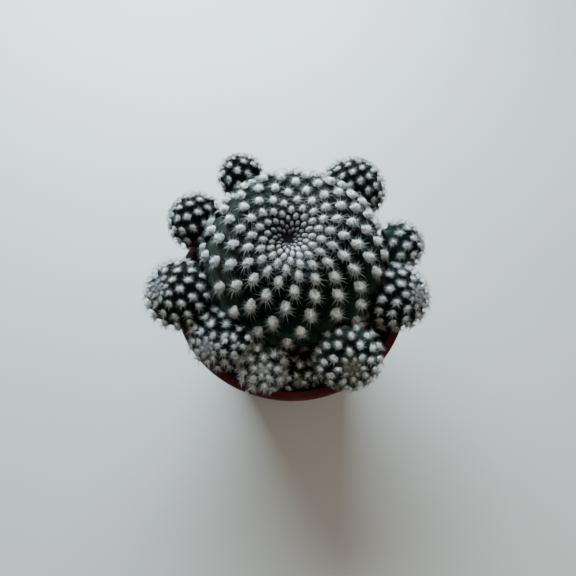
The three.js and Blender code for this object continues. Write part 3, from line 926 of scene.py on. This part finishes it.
class Shader:
    """A Principled material and short ways to add nodes to it."""

    # A Mix node's colour sockets share their names with others, so they go by number.
    MIX_FIRST = 6
    MIX_SECOND = 7
    MIX_RESULT = 2

    def __init__(self, name, **inputs):
        self.material = bpy.data.materials.new(name)
        self.material.use_nodes = True
        self.tree = self.material.node_tree
        self.surface = self.tree.nodes["Principled BSDF"]
        for socket, value in inputs.items():
            self.surface.inputs[socket.replace("_", " ")].default_value = value
        self.place = self.add("ShaderNodeTexCoord").outputs["Object"]

    def add(self, kind, **settings):
        node = self.tree.nodes.new(kind)
        for key, value in settings.items():
            setattr(node, key, value)
        return node

    def link(self, output, node, socket):
        self.tree.links.new(output, node.inputs[socket])

    def noise(self, size, detail=4, roughness=0.6):
        """Cloudy noise whose lumps are about size millimetres across."""
        node = self.add("ShaderNodeTexNoise")
        node.inputs["Scale"].default_value = 1 / (size * MM)
        node.inputs["Detail"].default_value = detail
        node.inputs["Roughness"].default_value = roughness
        self.link(self.place, node, "Vector")
        return node.outputs["Fac"]

    def ramp(self, factor, *stops):
        """A ColorRamp through (position, colour) stops."""
        node = self.add("ShaderNodeValToRGB")
        while len(node.color_ramp.elements) < len(stops):
            node.color_ramp.elements.new(1)
        for element, (position, colour) in zip(node.color_ramp.elements, stops):
            element.position = position
            element.color = (*colour, 1)
        self.link(factor, node, "Fac")
        return node.outputs["Color"]

    def multiply(self, first, second):
        node = self.add("ShaderNodeMix", data_type="RGBA", blend_type="MULTIPLY")
        node.inputs["Factor"].default_value = 1
        self.link(first, node, self.MIX_FIRST)
        self.link(second, node, self.MIX_SECOND)
        return node.outputs[self.MIX_RESULT]

    def tint(self):
        """The colour that each place of a mesh carries."""
        return self.add("ShaderNodeAttribute", attribute_name="tint").outputs["Color"]

    def colour(self, output):
        self.link(output, self.surface, "Base Color")

    def roughness(self, factor, low, high):
        node = self.add("ShaderNodeMapRange")
        node.inputs["To Min"].default_value = low
        node.inputs["To Max"].default_value = high
        self.link(factor, node, "Value")
        self.link(node.outputs["Result"], self.surface, "Roughness")

    def bump(self, height, depth):
        """Raises the surface by up to depth millimetres."""
        node = self.add("ShaderNodeBump")
        node.inputs["Strength"].default_value = 1
        node.inputs["Distance"].default_value = depth * MM
        self.link(height, node, "Height")
        self.link(node.outputs["Normal"], self.surface, "Normal")


def skin_material():
    """Dull skin, mottled in patches, with fine pale specks."""
    shader = Shader("cactus_skin", Specular_IOR_Level=0.04)
    mottle = shader.ramp(
        shader.noise(1.6), (0.3, (0.72, 0.8, 0.78)), (0.5, grey(1)), (0.72, (1.25, 1.22, 1.0))
    )
    grain = shader.noise(0.22, detail=2)
    speckle = shader.ramp(grain, (0.42, grey(0.9)), (0.66, grey(1.1)), (0.74, (1.7, 1.75, 1.6)))
    shader.colour(shader.multiply(shader.multiply(shader.tint(), mottle), speckle))
    shader.roughness(shader.noise(0.8), 0.7, 0.9)
    shader.bump(grain, 0.05)
    return shader.material


def wool_material():
    """Matted strands that catch the light in tufts."""
    shader = Shader(
        "areole_wool", Roughness=0.95, Specular_IOR_Level=0.2, Sheen_Weight=0.1,
        Sheen_Roughness=0.5,
    )
    strands = shader.noise(0.45, detail=3, roughness=0.7)
    fluff = shader.ramp(strands, (0.38, grey(0.45)), (0.5, grey(1)), (0.6, grey(1.2)))
    shader.colour(shader.multiply(shader.tint(), fluff))
    shader.bump(strands, 0.2)
    return shader.material


def spine_material():
    """Smooth horny spines with faint bands."""
    shader = Shader("spines", Roughness=0.5, Specular_IOR_Level=0.4, Coat_Weight=0.1)
    bands = shader.ramp(shader.noise(0.5, detail=2), (0.3, grey(0.8)), (0.7, grey(1.08)))
    shader.colour(shader.multiply(shader.tint(), bands))
    return shader.material


def pot_material():
    """Thin moulded plastic under a patchy film of dust, with a fine grain."""
    shader = Shader("pot_plastic", Specular_IOR_Level=0.16)
    film = shader.noise(9, detail=6)
    dark = dimmed(POT_COLOUR, 0.78)
    shader.colour(shader.ramp(film, (0.32, dark), (0.55, POT_COLOUR), (0.85, POT_DUST)))
    shader.roughness(shader.noise(3.5, detail=6), 0.34, 0.62)
    shader.bump(shader.noise(0.35, detail=3), 0.02)
    return shader.material


def soil_material():
    """Dark crumbly peat with paler grit."""
    shader = Shader("potting_soil", Roughness=0.95)
    peat = shader.noise(0.7, detail=8, roughness=0.75)
    dark = dimmed(SOIL_COLOUR, 0.45)
    shader.colour(shader.ramp(peat, (0.3, dark), (0.55, SOIL_COLOUR), (0.8, SOIL_GRIT)))
    shader.bump(shader.noise(0.3, detail=6), 0.2)
    return shader.material


def floor_material():
    """A pale, nearly even tabletop."""
    shader = Shader("floor", Roughness=0.6)
    soft = dimmed(FLOOR_COLOUR, 0.97)
    shader.colour(shader.ramp(shader.noise(60, detail=3), (0.35, soft), (0.65, FLOOR_COLOUR)))
    return shader.material


# ---- Stage ----

def make_floor():
    corners = np.array([(-1, -1, 0), (1, -1, 0), (1, 1, 0), (-1, 1, 0)]) * FLOOR_REACH
    floor = make_piece("floor", corners, [(0, 1, 2, 3)], floor_material())


def add_area_light(name, place, width, height, power, colour):
    light = bpy.data.lights.new(name, "AREA")
    light.shape = "RECTANGLE"
    light.size = width
    light.size_y = height
    light.energy = power
    light.color = colour
    lamp = bpy.data.objects.new(name, light)
    lamp.location = place
    lamp.rotation_euler = (LIGHTS_AIM - Vector(place)).to_track_quat("-Z", "Y").to_euler()
    bpy.context.scene.collection.objects.link(lamp)


def light_scene():
    """A window behind the plant, a weak warm light in front and an even room."""
    add_area_light(**WINDOW)
    add_area_light(**FILL)
    world = bpy.data.worlds.new("room")
    world.use_nodes = True
    background = world.node_tree.nodes["Background"]
    background.inputs["Color"].default_value = (*ROOM_COLOUR, 1)
    background.inputs["Strength"].default_value = ROOM_STRENGTH
    bpy.context.scene.world = world


def add_camera():
    """A camera that looks down and ahead, rolled a little about the way it looks."""
    forward = np.array((0, math.sin(CAMERA_TILT), -math.cos(CAMERA_TILT)))
    level = np.array((1.0, 0, 0))
    falling = np.cross(forward, level)
    right = math.cos(CAMERA_ROLL) * level + math.sin(CAMERA_ROLL) * falling
    down = -math.sin(CAMERA_ROLL) * level + math.cos(CAMERA_ROLL) * falling
    camera = bpy.data.cameras.new("camera")
    camera.lens = LENS
    camera.sensor_width = SENSOR
    camera.clip_start = NEAREST_SEEN * MM
    eye = bpy.data.objects.new("camera", camera)
    turn = Matrix((right, -down, -forward)).transposed().to_4x4()
    eye.matrix_world = Matrix.Translation(Vector(CAMERA_PLACE) * MM) @ turn
    bpy.context.scene.collection.objects.link(eye)
    bpy.context.scene.camera = eye


# ---- The whole plant in its pot ----

def dress_heads():
    heads = [Head(**MAIN_STEM)] + [Head(**{**OFFSET_SHAPE, **offset}) for offset in OFFSETS]
    skin, wool, spines = skin_material(), wool_material(), spine_material()
    for index, head in enumerate(heads):
        draw = np.random.default_rng(FIRST_HEAD_SEED + index)
        walls = walls_around(head, heads)
        areoles = areole_frames(head, walls)
        keep(make_skin(head, walls, skin), "cactus_skin", head.name)
        keep(make_wool(head, areoles, draw, wool), "areole_wool")
        keep(make_spines(head, walls, areoles, draw, spines), "spines")


add_camera()
make_floor()
light_scene()
keep(make_pot(pot_material()), "pot_plastic", "pot")
keep(make_soil(soil_material(), np.random.default_rng(SOIL_SEED)), "potting_soil", "soil")
dress_heads()
